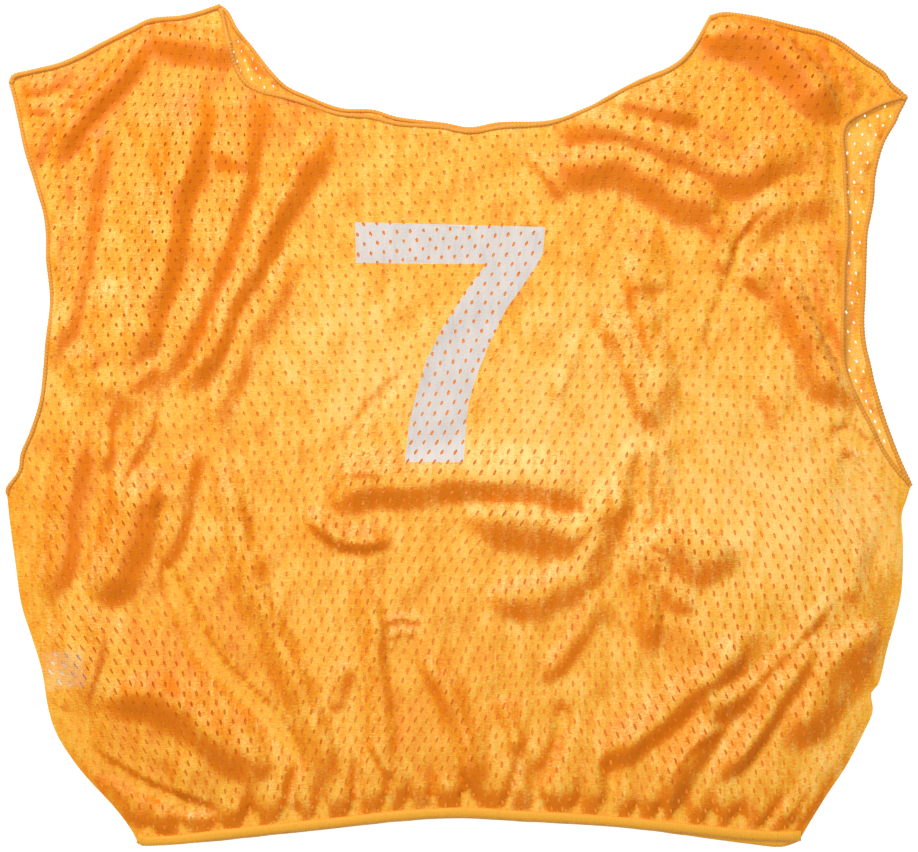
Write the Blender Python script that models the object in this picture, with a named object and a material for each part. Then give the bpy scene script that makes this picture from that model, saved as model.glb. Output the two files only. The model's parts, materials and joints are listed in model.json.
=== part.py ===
"""A mesh training bib laid flat: front up, neck towards +Y, underside at z = 0, origin at its middle.

Two mesh panels lie on each other. Overlocked seams join them at the shoulders, narrow overlocked
edges finish the neck and the armholes, an elastic band gathers each panel's hem, and a blank care
label lies between the panels at the left side seam. The back lies flat. The front lies on it in soft
folds, which one height function gives to every piece of the front, so that its edges follow it.

Plans and heights are worked out in millimetres, and each finished mesh is scaled to metres.
"""

from collections import namedtuple

import bmesh
import bpy
import numpy as np
from mathutils.geometry import delaunay_2d_cdt

METRES = 0.001

# Walls, gaps and edge finishes, in millimetres.
CLOTH = 1.2
EDGE_THICK = 1.4
SEAM_THICK = 3.4
LABEL_THICK = 1.0
GAP = 0.3
EDGE_WIDE = 2.6
SEAM_WIDE = 3.0
HEM_WIDE = 7.0
END_GAP = 6.0
FRONT_REST = EDGE_THICK + GAP

# The front lifts off the back away from its seams, and comes down to the back at them.
BILLOW = 3.5
BILLOW_REACH = 60.0
SEAM_REACH = 16.0
HEM_REACH = 30.0
HEM_SHARE = 0.45

# Gathers that the hem's elastic draws up, fanning out towards the wider body. Two beats, out of step
# with the count, make their places, heights and lengths uneven.
GATHERS = 22
GATHER_RISE = 3.2
GATHER_RISE_SWING = 0.3
GATHER_HALF_WIDE = 7.5
GATHER_WIDENS = 0.6
GATHER_FAN = 0.42
GATHER_REACH = 62.0
GATHER_REACH_SWING = 26.0
GATHER_PLACE_SWING = 0.22
PLACE_BEAT = 2.4
REACH_BEAT = 1.7

# Spacing of mesh points: along a fold's crest, along an edge, over the body, and in the gathered strip
# above the hem, which reaches up to GATHERED_TO.
FOLD_STEP = 6.0
EDGE_STEP = 12.0
HEM_STEP = 7.5
BODY_STEP = 15.5
GATHER_STEP = 9.0
GATHERED_TO = -176.0
CURVE_PARTS = 12

# The cosine above which two stretches of an outline count as one straight run.
NEARLY_STRAIGHT = 0.97
CREASE_ANGLE = np.radians(50)

# Each edge of the laid bib as (x, y) turns of a smooth curve, clockwise from the left shoulder's tip.
LEFT_SHOULDER = [
    (-282, 215), (-279, 220), (-268, 223), (-251, 227), (-237, 233), (-224, 240), (-206, 249),
    (-193, 255), (-174, 257), (-162, 260), (-150, 264),
]
BACK_NECK = [
    (-150, 264), (-144, 259), (-138, 248), (-129, 237), (-119, 224), (-108, 213), (-93, 206),
    (-74, 199), (-54, 198), (-37, 193), (-12, 190), (7, 187), (26, 190), (54, 191), (76, 197),
    (94, 207), (113, 217), (132, 225), (144, 235), (152, 248), (157, 257),
]
FRONT_NECK = [
    (-150, 264), (-147, 258), (-144, 245), (-139, 227), (-133, 216), (-123, 210), (-109, 207),
    (-93, 202), (-74, 196), (-54, 194), (-37, 190), (-12, 188), (7, 185), (26, 188), (54, 190),
    (76, 197), (94, 206), (113, 216), (132, 224), (144, 235), (152, 248), (157, 257),
]
RIGHT_SHOULDER = [
    (157, 257), (168, 259), (188, 256), (213, 250), (226, 247), (239, 241), (254, 230), (266, 222),
    (271, 215), (278, 209), (281, 205),
]
BACK_RIGHT_ARMHOLE = [
    (281, 205), (276, 195), (274, 190), (266, 176), (261, 157), (260, 141), (256, 119), (255, 88),
    (254, 60), (258, 38), (264, 14), (272, -9), (279, -26), (284, -37),
]
FRONT_RIGHT_ARMHOLE = [
    (281, 205), (267, 201), (254, 195), (244, 189), (241, 180), (242, 166), (243, 147), (244, 125),
    (242, 100), (241, 72), (241, 47), (244, 30), (251, 15), (259, 0), (266, -14), (275, -27),
    (284, -37),
]
RIGHT_SIDE = [
    (284, -37), (281, -47), (278, -57), (279, -75), (278, -103), (274, -122), (269, -140),
    (264, -161), (259, -168), (260, -179), (254, -193), (243, -214), (231, -232), (221, -248),
    (214, -260),
]
BACK_HEM = [
    (214, -260), (201, -264), (182, -262), (151, -258), (113, -253), (76, -250), (38, -248),
    (1, -246), (-37, -248), (-74, -252), (-112, -256), (-149, -260), (-174, -262), (-196, -263),
    (-202, -261),
]
FRONT_HEM = [
    (214, -260), (201, -260), (182, -259), (151, -256), (113, -252), (76, -249), (38, -247),
    (1, -245), (-37, -247), (-74, -251), (-112, -255), (-149, -259), (-174, -262), (-196, -263),
    (-202, -261),
]
LEFT_SIDE = [
    (-202, -261), (-207, -252), (-217, -239), (-231, -224), (-241, -212), (-252, -195),
    (-258, -178), (-262, -154), (-268, -134), (-275, -112), (-279, -84), (-282, -62), (-284, -43),
]
LEFT_ARMHOLE = [
    (-284, -43), (-283, -38), (-276, -28), (-274, -17), (-268, -3), (-262, 17), (-259, 47),
    (-256, 78), (-258, 103), (-259, 127), (-264, 147), (-272, 173), (-278, 200), (-282, 215),
]

# Corners of the care label.
LABEL = [(-259.4, -142.2), (-235.6, -140.3), (-233.1, -162.8), (-256.9, -165.3)]
LABEL_LIFT_FULL = 18.0
LABEL_LIFT_END = 36.0

# The largest folds of the front. The crest runs along the path, with a gentle side to its left and a
# steep side to its right, and fades out over FOLD_END of its length. A height below zero is a trough.
FOLD_END = 0.22
Fold = namedtuple("Fold", "name rise fall height path")
FOLDS = [
    Fold("left shoulder", 6, 15, 6.0, [(-249, 122), (-248, 160), (-238, 186), (-218, 208), (-196, 235),
                                       (-182, 245), (-146, 247)]),
    Fold("left chest, outer", 8, 12, 3.0, [(-254, 32), (-249, 50), (-244, 78), (-249, 110), (-251, 135)]),
    Fold("left chest, middle", 12, 11, 3.5, [(-204, 38), (-188, 85), (-177, 138), (-157, 191)]),
    Fold("left chest, inner", 11, 12, 5.0, [(-166, 25), (-146, 66), (-128, 113), (-88, 182)]),
    Fold("left waist pouch", 12, 28, 7.0, [(-228, -115), (-213, -84), (-207, -56), (-193, -43), (-179, -52)]),
    Fold("left waist crease", 7, 7, -4.0, [(-188, -84), (-162, -134), (-123, -179), (-93, -228)]),
    Fold("left hem pouch", 10, 19, 5.0, [(-221, -175), (-193, -168), (-162, -185), (-123, -218)]),
    Fold("left hem crease", 7, 7, -4.0, [(-249, -181), (-228, -210), (-206, -223), (-152, -242)]),
    Fold("under the numeral, upper", 10, 17, 5.0, [(-78, -50), (-49, -37), (26, -33), (57, -42), (82, -50)]),
    Fold("under the numeral, lower", 10, 28, 6.5, [(12, -65), (32, -54), (63, -58), (88, -47)]),
    Fold("under the numeral, left", 8, 11, 4.0, [(-92, -56), (-74, -70), (-51, -77)]),
    Fold("middle of the waist", 9, 19, 3.0, [(13, -109), (44, -102), (79, -89), (91, -72)]),
    Fold("right waist, upper", 10, 11, 4.0, [(87, 75), (108, 32), (127, -4)]),
    Fold("right waist, second", 9, 11, 3.0, [(116, 85), (122, 53), (134, 0)]),
    Fold("right waist pouch", 11, 31, 6.0, [(122, -84), (131, -67), (151, -72), (179, -84)]),
    Fold("right chest, upper", 8, 15, 4.0, [(79, 202), (107, 202), (132, 196), (149, 185)]),
    Fold("right chest, middle", 10, 19, 4.5, [(60, 186), (101, 183), (138, 173), (176, 163), (210, 166)]),
    Fold("right chest, lower", 9, 18, 5.0, [(51, 163), (88, 160), (116, 157), (144, 143), (160, 128)]),
    Fold("right armhole, upper", 9, 19, 3.0, [(176, 113), (188, 132), (207, 141), (244, 144)]),
    Fold("right shoulder", 9, 28, 8.0, [(146, 238), (158, 247), (188, 242), (213, 230), (229, 210),
                                        (238, 192)]),
    Fold("right armhole, lower", 9, 19, 5.0, [(188, 98), (213, 85), (222, 57), (232, 38), (249, 19)]),
    Fold("right hem, first", 10, 12, 4.5, [(91, -228), (113, -190), (144, -168), (169, -147), (179, -128)]),
    Fold("right hem, second", 9, 12, 4.0, [(129, -243), (148, -212), (160, -184), (176, -168), (198, -160)]),
    Fold("right hem, third", 8, 9, 4.0, [(168, -218), (191, -190), (210, -162), (233, -131)]),
    Fold("right hem, last", 8, 25, 5.0, [(204, -200), (216, -175), (232, -150), (254, -128), (269, -122)]),
]

MATERIALS = {
    "mesh_cloth": ((0.93, 0.40, 0.035, 1.0), 0.62),
    "edge_thread": ((0.90, 0.42, 0.03, 1.0), 0.55),
    "hem_elastic": ((0.88, 0.40, 0.03, 1.0), 0.60),
    "label_satin": ((0.86, 0.84, 0.80, 1.0), 0.50),
}


def clear_scene():
    for obj in list(bpy.data.objects):
        bpy.data.objects.remove(obj, do_unlink=True)


def material(name):
    """The named finish as a Principled material, made once."""
    if name in bpy.data.materials:
        return bpy.data.materials[name]
    colour, roughness = MATERIALS[name]
    made = bpy.data.materials.new(name)
    made.use_nodes = True
    shader = made.node_tree.nodes["Principled BSDF"]
    shader.inputs["Base Color"].default_value = colour
    shader.inputs["Roughness"].default_value = roughness
    shader.inputs["Metallic"].default_value = 0.0
    made.diffuse_color = colour
    return made


def smoothstep(value):
    """0 up to 0, 1 from 1, and a smooth rise between."""
    held = np.clip(value, 0.0, 1.0)
    return held * held * (3.0 - 2.0 * held)


def smooth_curve(turns, step):
    """Points about step apart on the Catmull-Rom curve through the turns, both ends included."""
    turns = np.array(turns, float)
    before = 2 * turns[:1] - turns[1:2]
    after = 2 * turns[-1:] - turns[-2:-1]
    knots = np.vstack([before, turns, after])
    a, b, c, d = (knots[i : len(knots) - 3 + i, None] for i in range(4))
    t = np.linspace(0, 1, CURVE_PARTS, endpoint=False)[:, None]
    spans = 0.5 * (2 * b + (c - a) * t + (2 * a - 5 * b + 4 * c - d) * t**2 + (3 * b - a - 3 * c + d) * t**3)
    fine = np.vstack([spans.reshape(-1, 2), turns[-1:]])
    run = np.append(0, np.cumsum(np.linalg.norm(np.diff(fine, axis=0), axis=1)))
    stations = np.linspace(0, run[-1], max(2, round(run[-1] / step) + 1))
    return np.column_stack([np.interp(stations, run, fine[:, axis]) for axis in range(2)])


def shortened(path, length):
    """The path with its first and last stretch cut back, each by the same length."""
    cut = path.copy()
    for end, inner in ((0, 1), (-1, -2)):
        stretch = path[inner] - path[end]
        cut[end] += stretch * length / np.linalg.norm(stretch)
    return cut


def right_hand(path):
    """The unit normal on the right of each stretch of a path, which points into a clockwise outline."""
    ahead = np.diff(path, axis=0)
    ahead /= np.linalg.norm(ahead, axis=1, keepdims=True)
    return np.column_stack([ahead[:, 1], -ahead[:, 0]])


def corner_move(before, after, wide_before, wide_after):
    """How each corner moves in, so that both of its sides move in by their own widths."""
    turn = (before * after).sum(axis=1)
    mean = (wide_before + wide_after) / 2
    smooth = (before + after) * (mean / (1 + turn))[:, None]
    spread = np.where(turn < NEARLY_STRAIGHT, 1 - turn**2, 1)
    first = (wide_before - turn * wide_after) / spread
    second = (wide_after - turn * wide_before) / spread
    sharp = before * first[:, None] + after * second[:, None]
    return np.where((turn < NEARLY_STRAIGHT)[:, None], sharp, smooth)


def inset_loop(loop, widths):
    """A closed clockwise outline moved in, each side by its own width."""
    after = right_hand(np.vstack([loop, loop[:1]]))
    before = np.roll(after, 1, axis=0)
    return loop + corner_move(before, after, np.roll(widths, 1), widths)


def inset_path(path, width):
    """An open path moved to its right by one width."""
    normals = right_hand(path)
    before = np.vstack([normals[:1], normals])
    after = np.vstack([normals, normals[-1:]])
    widths = np.full(len(path), width)
    return path + corner_move(before, after, widths, widths)


def nearest_on(points, path):
    """For each point: its distance from the path, which is less than 0 on the left, and how far along."""
    start = path[:-1]
    along = np.diff(path, axis=0)
    length = np.linalg.norm(along, axis=1)
    away = points[:, None] - start
    share = np.clip((away * along).sum(axis=2) / length**2, 0, 1)
    off = np.linalg.norm(away - share[..., None] * along, axis=2)
    near = off.argmin(axis=1)
    rows = np.arange(len(points))
    cross = along[near, 0] * away[rows, near, 1] - along[near, 1] * away[rows, near, 0]
    run = np.append(0, np.cumsum(length))
    reached = (run[near] + share[rows, near] * length[near]) / run[-1]
    return off[rows, near] * np.where(cross > 0, -1, 1), reached


def inside(points, loop):
    """Whether each point is in the loop, by counting the sides that cross the line to its right."""
    x = points[:, None, 0]
    y = points[:, None, 1]
    start = loop
    end = np.roll(loop, -1, axis=0)
    spans = (start[:, 1] > y) != (end[:, 1] > y)
    drop = np.where(end[:, 1] == start[:, 1], 1, end[:, 1] - start[:, 1])
    crossing = start[:, 0] + (y - start[:, 1]) * (end[:, 0] - start[:, 0]) / drop
    return (spans & (x < crossing)).sum(axis=1) % 2 == 1


def fold_height(points, fold):
    """Rises smoothly to the crest on its left, falls to its right, and fades out at both ends."""
    across, reached = nearest_on(points, smooth_curve(fold.path, FOLD_STEP))
    side = np.where(across < 0, 1 + across / fold.rise, 1 - across / fold.fall)
    ends = smoothstep(reached / FOLD_END) * smoothstep((1 - reached) / FOLD_END)
    return fold.height * smoothstep(side) * ends


def gather_height(points):
    """Ridges that stand on the hem and die away upward, wider and further out as they go."""
    left, right = BACK_HEM[-1][0], BACK_HEM[0][0]
    above = nearest_on(points, smooth_curve(FRONT_HEM, EDGE_STEP))[0]
    total = np.zeros(len(points))
    for k in range(GATHERS):
        swing = np.sin(PLACE_BEAT * k)
        foot = left + (right - left) * (k + 0.5 + GATHER_PLACE_SWING * swing) / GATHERS
        fan = GATHER_FAN * foot / right
        reach = GATHER_REACH + GATHER_REACH_SWING * np.sin(REACH_BEAT * k)
        half = GATHER_HALF_WIDE * (1 + GATHER_WIDENS * above / GATHER_REACH)
        across = np.abs(points[:, 0] - foot - fan * above) / half
        tall = GATHER_RISE * (1 + GATHER_RISE_SWING * swing) * smoothstep(1 - above / reach)
        total += tall * smoothstep(1 - across)
    return total


def front_height(points):
    """The underside of the front above z = 0, at each point of the plan."""
    sewn = (LEFT_SHOULDER, RIGHT_SHOULDER, LEFT_SIDE, RIGHT_SIDE)
    seams = [smooth_curve(turns, EDGE_STEP) for turns in sewn]
    from_seam = np.min([np.abs(nearest_on(points, seam)[0]) for seam in seams], axis=0)
    from_hem = np.abs(nearest_on(points, smooth_curve(FRONT_HEM, EDGE_STEP))[0])
    relief = BILLOW * smoothstep(np.minimum(from_seam, from_hem) / BILLOW_REACH)
    for fold in FOLDS:
        relief += fold_height(points, fold)
    relief *= HEM_SHARE + (1 - HEM_SHARE) * smoothstep(from_hem / HEM_REACH)
    relief += gather_height(points)
    relief = np.maximum(relief, 0) * smoothstep(from_seam / SEAM_REACH)
    middle = np.mean(LABEL, axis=0)
    from_label = np.linalg.norm(points - middle, axis=1)
    lift = LABEL_THICK + CLOTH + 2 * GAP - FRONT_REST
    fade = (LABEL_LIFT_END - from_label) / (LABEL_LIFT_END - LABEL_LIFT_FULL)
    return FRONT_REST + np.maximum(relief, lift * smoothstep(fade))


def flat_height(points):
    return np.zeros(len(points))


def body_points(loop):
    """Staggered rows of points inside the outline, closer together in the gathered strip."""
    low, high = loop.min(axis=0), loop.max(axis=0)
    rows = []
    y = low[1]
    while y < high[1]:
        step = GATHER_STEP if y < GATHERED_TO else BODY_STEP
        shift = step / 2 * (len(rows) % 2)
        x = np.arange(low[0] + shift, high[0], step)
        row = np.column_stack([x, np.full(len(x), y)])
        ring = np.vstack([loop, loop[:1]])
        clear = np.abs(nearest_on(row, ring)[0]) > step / 2
        rows.append(row[clear & inside(row, loop)])
        y += step * np.sqrt(3) / 2
    return np.vstack(rows)


def triangles(loop, points):
    """The outline filled with triangles that use the points in it: (plan points, faces)."""
    plan = np.vstack([loop, points])
    outline = list(range(len(loop)))[::-1]
    verts, _, faces, _, _, _ = delaunay_2d_cdt([tuple(p) for p in plan], [], [outline], 1, 1e-6)
    return np.array([tuple(v) for v in verts]), faces


def cloth_piece(name, plan, faces, height, thick, finish, collection):
    """A closed wall: the plan laid at its height, then extruded straight up by its thickness."""
    made = bmesh.new()
    points = [made.verts.new((x, y, z)) for (x, y), z in zip(plan, height(plan))]
    for face in faces:
        made.faces.new([points[i] for i in face])
    grown = bmesh.ops.extrude_face_region(made, geom=made.faces[:], use_keep_orig=True)
    top = [part for part in grown["geom"] if isinstance(part, bmesh.types.BMVert)]
    bmesh.ops.translate(made, verts=top, vec=(0, 0, thick))
    bmesh.ops.scale(made, verts=made.verts[:], vec=(METRES, METRES, METRES))
    bmesh.ops.recalc_face_normals(made, faces=made.faces[:])
    mesh = bpy.data.meshes.new(name)
    made.to_mesh(mesh)
    made.free()
    mesh.materials.append(material(finish))
    mesh.shade_smooth()
    mesh.set_sharp_from_angle(angle=CREASE_ANGLE)
    obj = bpy.data.objects.new(name, mesh)
    collection.objects.link(obj)
    return obj


def panel(name, edges, height, collection):
    """One mesh panel. Each edge is (turns, spacing, the width that its finish takes up)."""
    runs = [smooth_curve(turns, step)[:-1] for turns, step, _ in edges]
    widths = np.concatenate([np.full(len(run), wide) for run, (_, _, wide) in zip(runs, edges)])
    loop = inset_loop(np.vstack(runs), widths)
    inner = body_points(loop) if height is front_height else np.empty((0, 2))
    plan, faces = triangles(loop, inner)
    return cloth_piece(name, plan, faces, height, CLOTH, "mesh_cloth", collection)


def strip(name, turns, step, wide, thick, skipped, height, finish, collection):
    """A narrow band along an edge, inside the bib's outline, with its points where the panel has them."""
    outer = shortened(smooth_curve(turns, step), skipped)
    inner = inset_path(outer, wide)
    count = len(outer)
    plan = np.vstack([outer, inner])
    near = np.arange(count - 1)
    faces = np.column_stack([near, near + count, near + count + 1, near + 1]).tolist()
    return cloth_piece(name, plan, faces, height, thick, finish, collection)


def panel_edges(neck, right_armhole, hem):
    """The edges of one panel in order, with the width that each finish and its gap take up."""
    seam = SEAM_WIDE + GAP
    edge = EDGE_WIDE + GAP
    band = HEM_WIDE + GAP
    return [
        (LEFT_SHOULDER, EDGE_STEP, seam),
        (neck, EDGE_STEP, edge),
        (RIGHT_SHOULDER, EDGE_STEP, seam),
        (right_armhole, EDGE_STEP, edge),
        (RIGHT_SIDE, EDGE_STEP, 0.0),
        (hem, HEM_STEP, band),
        (LEFT_SIDE, EDGE_STEP, 0.0),
        (LEFT_ARMHOLE, EDGE_STEP, edge),
    ]


def side_pieces(side, neck, right_armhole, hem, height, collection):
    """One side of the bib: its panel, its neck and armhole edges, and its gathered hem band."""
    made = [panel(side + "_panel", panel_edges(neck, right_armhole, hem), height, collection)]
    overlocked = {
        "neck_edge": (neck, END_GAP),
        "left_armhole_edge": (LEFT_ARMHOLE, END_GAP),
        "right_armhole_edge": (right_armhole, END_GAP),
    }
    for name, (turns, skipped) in overlocked.items():
        made.append(strip(f"{side}_{name}", turns, EDGE_STEP, EDGE_WIDE, EDGE_THICK, skipped, height,
                          "edge_thread", collection))
    made.append(strip(side + "_hem_band", hem, HEM_STEP, HEM_WIDE, EDGE_THICK, END_GAP / 2, height,
                      "hem_elastic", collection))
    return made


def shoulder_seams(collection):
    """The two overlocked seams, which stand on z = 0 and take in the edges of both panels."""
    tables = {"left_shoulder_seam": LEFT_SHOULDER, "right_shoulder_seam": RIGHT_SHOULDER}
    return [
        strip(name, turns, EDGE_STEP, SEAM_WIDE, SEAM_THICK, 0.0, flat_height, "edge_thread", collection)
        for name, turns in tables.items()
    ]


def label_height(points):
    return np.full(len(points), CLOTH + GAP)


def care_label(collection):
    """A blank label that lies on the back panel, under the front."""
    plan = np.array(LABEL)
    face = (3, 2, 1, 0)
    return cloth_piece("care_label", plan, [face], label_height, LABEL_THICK, "label_satin", collection)


def centre(objects):
    """Moves every piece alike, so that the origin is the middle of the whole underside."""
    corners = np.array([vertex.co for obj in objects for vertex in obj.data.vertices])
    low, high = corners.min(axis=0), corners.max(axis=0)
    middle = np.array([(low[0] + high[0]) / 2, (low[1] + high[1]) / 2, low[2]])
    for obj in objects:
        for vertex in obj.data.vertices:
            vertex.co = np.array(vertex.co) - middle
    print("size in mm:", np.round((high - low) / METRES, 2), "moved by", np.round(middle / METRES, 3))


def main():
    clear_scene()
    collection = bpy.data.collections.new("training_bib")
    bpy.context.scene.collection.children.link(collection)
    objects = side_pieces("back", BACK_NECK, BACK_RIGHT_ARMHOLE, BACK_HEM, flat_height, collection)
    objects += side_pieces("front", FRONT_NECK, FRONT_RIGHT_ARMHOLE, FRONT_HEM, front_height, collection)
    objects += shoulder_seams(collection)
    objects.append(care_label(collection))
    centre(objects)
    for obj in objects:
        print(obj.name, "triangles:", sum(len(face.vertices) - 2 for face in obj.data.polygons))


main()
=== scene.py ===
# %% [markdown]
# # A mesh training bib, laid flat
#
# The real bib is two pieces of warp-knitted polyester mesh, front and back. They are overlocked
# together at the shoulders and sides, their neck and armholes are bound with overlock stitches, and a
# narrow elastic gathers the hem. It lies on its back on a white table, seen from straight above.
#
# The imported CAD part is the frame: it gives every piece its place and its size. This script dresses
# it. Each cloth panel becomes a thin shell with its real holes, each edge becomes its rows of thread,
# and each surface gets a finish.

import json
from collections import namedtuple

import bpy
import numpy as np
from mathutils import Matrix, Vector
from mathutils.geometry import delaunay_2d_cdt

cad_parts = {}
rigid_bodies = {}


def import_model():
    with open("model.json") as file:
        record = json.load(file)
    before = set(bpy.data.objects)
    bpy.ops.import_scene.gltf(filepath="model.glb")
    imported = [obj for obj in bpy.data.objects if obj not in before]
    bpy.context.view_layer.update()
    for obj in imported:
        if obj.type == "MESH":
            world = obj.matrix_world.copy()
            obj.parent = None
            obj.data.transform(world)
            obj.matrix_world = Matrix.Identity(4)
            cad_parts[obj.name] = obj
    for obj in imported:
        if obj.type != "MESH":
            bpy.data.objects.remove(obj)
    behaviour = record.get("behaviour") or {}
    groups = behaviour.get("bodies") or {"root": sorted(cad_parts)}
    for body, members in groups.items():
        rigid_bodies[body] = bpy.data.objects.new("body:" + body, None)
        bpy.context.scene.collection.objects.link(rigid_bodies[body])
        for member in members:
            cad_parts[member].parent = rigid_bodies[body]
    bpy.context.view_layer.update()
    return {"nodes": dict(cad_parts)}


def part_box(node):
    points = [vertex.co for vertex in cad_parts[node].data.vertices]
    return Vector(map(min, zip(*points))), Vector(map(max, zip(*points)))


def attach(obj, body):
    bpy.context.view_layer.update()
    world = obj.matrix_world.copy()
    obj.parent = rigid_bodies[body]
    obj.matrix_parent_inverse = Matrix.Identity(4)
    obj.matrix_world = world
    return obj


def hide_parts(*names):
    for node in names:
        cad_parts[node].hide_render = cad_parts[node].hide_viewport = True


for start_object in list(bpy.data.objects):
    bpy.data.objects.remove(start_object, do_unlink=True)

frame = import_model()
print("CAD nodes:", len(frame["nodes"]))

# %% [markdown]
# ## The bib's edges
#
# A pattern cutter draws each edge as a curve through a few points. The tables below are those points,
# in millimetres on the table top, going round clockwise from the left shoulder's tip. The front and
# the back share the shoulders, the sides and the left armhole. The back is cut a little higher at the
# neck, and it shows beyond the front at the right armhole.

# %% Points of the shared edges
MM = 0.001

LEFT_SHOULDER = [
    (-282, 215), (-279, 220), (-268, 223), (-251, 227), (-237, 233), (-224, 240), (-206, 249),
    (-193, 255), (-174, 257), (-162, 260), (-150, 264),
]
RIGHT_SHOULDER = [
    (157, 257), (168, 259), (188, 256), (213, 250), (226, 247), (239, 241), (254, 230), (266, 222),
    (271, 215), (278, 209), (281, 205),
]
RIGHT_SIDE = [
    (284, -37), (281, -47), (278, -57), (279, -75), (278, -103), (274, -122), (269, -140),
    (264, -161), (259, -168), (260, -179), (254, -193), (243, -214), (231, -232), (221, -248),
    (214, -260),
]
LEFT_SIDE = [
    (-202, -261), (-207, -252), (-217, -239), (-231, -224), (-241, -212), (-252, -195),
    (-258, -178), (-262, -154), (-268, -134), (-275, -112), (-279, -84), (-282, -62), (-284, -43),
]
LEFT_ARMHOLE = [
    (-284, -43), (-283, -38), (-276, -28), (-274, -17), (-268, -3), (-262, 17), (-259, 47),
    (-256, 78), (-258, 103), (-259, 127), (-264, 147), (-272, 173), (-278, 200), (-282, 215),
]
print("shared edge points:", len(LEFT_SHOULDER + RIGHT_SHOULDER + RIGHT_SIDE + LEFT_SIDE + LEFT_ARMHOLE))

# %% Points of the edges that front and back have of their own
BACK_NECK = [
    (-150, 264), (-144, 259), (-138, 248), (-129, 237), (-119, 224), (-108, 213), (-93, 206),
    (-74, 199), (-54, 198), (-37, 193), (-12, 190), (7, 187), (26, 190), (54, 191), (76, 197),
    (94, 207), (113, 217), (132, 225), (144, 235), (152, 248), (157, 257),
]
FRONT_NECK = [
    (-150, 264), (-147, 258), (-144, 245), (-139, 227), (-133, 216), (-123, 210), (-109, 207),
    (-93, 202), (-74, 196), (-54, 194), (-37, 190), (-12, 188), (7, 185), (26, 188), (54, 190),
    (76, 197), (94, 206), (113, 216), (132, 224), (144, 235), (152, 248), (157, 257),
]
BACK_RIGHT_ARMHOLE = [
    (281, 205), (276, 195), (274, 190), (266, 176), (261, 157), (260, 141), (256, 119), (255, 88),
    (254, 60), (258, 38), (264, 14), (272, -9), (279, -26), (284, -37),
]
FRONT_RIGHT_ARMHOLE = [
    (281, 205), (267, 201), (254, 195), (244, 189), (241, 180), (242, 166), (243, 147), (244, 125),
    (242, 100), (241, 72), (241, 47), (244, 30), (251, 15), (259, 0), (266, -14), (275, -27),
    (284, -37),
]
BACK_HEM = [
    (214, -260), (201, -264), (182, -262), (151, -258), (113, -253), (76, -250), (38, -248),
    (1, -246), (-37, -248), (-74, -252), (-112, -256), (-149, -260), (-174, -262), (-196, -263),
    (-202, -261),
]
FRONT_HEM = [
    (214, -260), (201, -260), (182, -259), (151, -256), (113, -252), (76, -249), (38, -247),
    (1, -245), (-37, -247), (-74, -251), (-112, -255), (-149, -259), (-174, -262), (-196, -263),
    (-202, -261),
]
print("neck points, back and front:", len(BACK_NECK), len(FRONT_NECK))

# %% [markdown]
# ## From points to smooth edges
#
# A Catmull-Rom curve passes through every point that it is given, so it is an easy way to draw a
# cut edge. It is worked out for all stretches at once and then walked in even steps, because an edge
# with even steps gives even stitches. The same walk serves the cloth's outline, the rows of thread
# and the crests of the folds.

# %% Smooth curves, walked in even steps
CURVE_PARTS = 12
CAD_STEP = 12.0


def smooth_curve(turns, step):
    """Points about step apart on the Catmull-Rom curve through the turns: on each stretch, the cubic
    that passes both of its ends with the slopes of the chords between their neighbours."""
    turns = np.array(turns, float)
    before = 2 * turns[:1] - turns[1:2]
    after = 2 * turns[-1:] - turns[-2:-1]
    knots = np.vstack([before, turns, after])
    a, b, c, d = (knots[i : len(knots) - 3 + i, None] for i in range(4))
    t = np.linspace(0, 1, CURVE_PARTS, endpoint=False)[:, None]
    spans = 0.5 * (2 * b + (c - a) * t + (2 * a - 5 * b + 4 * c - d) * t**2 + (3 * b - a - 3 * c + d) * t**3)
    fine = np.vstack([spans.reshape(-1, 2), turns[-1:]])
    run = np.append(0, np.cumsum(np.linalg.norm(np.diff(fine, axis=0), axis=1)))
    stations = np.linspace(0, run[-1], max(2, round(run[-1] / step) + 1))
    return np.column_stack([np.interp(stations, run, fine[:, axis]) for axis in range(2)])


shoulder = smooth_curve(LEFT_SHOULDER, CAD_STEP)
seam_low, seam_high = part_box("left_shoulder_seam")
MIDDLE = np.array([shoulder[:, 0].min() - seam_low[0] / MM, shoulder[:, 1].max() - seam_high[1] / MM])
print("the frame's origin on the table, in mm:", MIDDLE.round(3))

# %% Distances from a curve, and curves moved sideways


def nearest_on(points, path):
    """For each point: its distance from the path, less than 0 on the left, and the share walked."""
    start = path[:-1]
    along = np.diff(path, axis=0)
    length = np.linalg.norm(along, axis=1)
    away = points[:, None] - start
    share = np.clip((away * along).sum(axis=2) / length**2, 0, 1)
    off = np.linalg.norm(away - share[..., None] * along, axis=2)
    near = off.argmin(axis=1)
    rows = np.arange(len(points))
    cross = along[near, 0] * away[rows, near, 1] - along[near, 1] * away[rows, near, 0]
    run = np.append(0, np.cumsum(length))
    reached = (run[near] + share[rows, near] * length[near]) / run[-1]
    return off[rows, near] * np.where(cross > 0, -1, 1), reached


def moved_right(path, distance, closed=False):
    """A path moved to its right. Each point goes along the mean of the normals on its two sides,
    further at a bend, by the distance over the cosine of half the turn."""
    ring = np.vstack([path[-1:], path, path[:1]]) if closed else path
    ahead = np.diff(ring, axis=0)
    ahead /= np.linalg.norm(ahead, axis=1, keepdims=True)
    normals = np.column_stack([ahead[:, 1], -ahead[:, 0]])
    if not closed:
        normals = np.vstack([normals[:1], normals, normals[-1:]])
    both = normals[:-1] + normals[1:]
    return path + both * (2 * distance / (both**2).sum(axis=1))[:, None]


def smoothstep(value):
    """0 up to 0, 1 from 1, and a smooth rise between."""
    held = np.clip(value, 0.0, 1.0)
    return held * held * (3.0 - 2.0 * held)


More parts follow.
